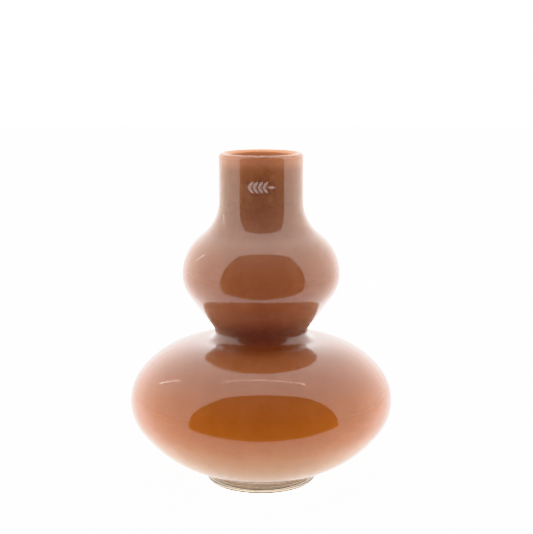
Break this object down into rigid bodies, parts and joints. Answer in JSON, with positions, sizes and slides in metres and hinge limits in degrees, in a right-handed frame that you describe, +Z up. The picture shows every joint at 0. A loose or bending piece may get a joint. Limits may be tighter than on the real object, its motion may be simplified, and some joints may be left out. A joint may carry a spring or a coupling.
{
  "type": "glass bud vase",
  "caption": "Double-gourd bud vase in caramel glass cased in clear glass, with a straight neck, an open mouth and a short clear foot.",
  "frame": {"origin": "on the vase's axis, in the plane it stands on", "axes": "+Z up along the vase's axis, -Y towards the label on the front of the neck, +X to the right of the label"},
  "size_m": [0.158, 0.158, 0.2],
  "materials": {
    "clear_glass": "clear crystal, fire-polished and glossy",
    "caramel_glass": "dense caramel brown, turning amber where it is thin",
    "foot_glass": "clear glass with a faint straw tint, polished",
    "label_adhesive": "clear acrylic adhesive",
    "label_film": "clear glossy film",
    "label_ink": "thin white screen print"
  },
  "bodies": {
    "root": {"clear_casing": "clear_glass", "colour_layer": "caramel_glass", "clear_foot": "foot_glass", "label_adhesive": "label_adhesive", "label_film": "label_film", "label_print": "label_ink"}
  },
  "joints": []
}
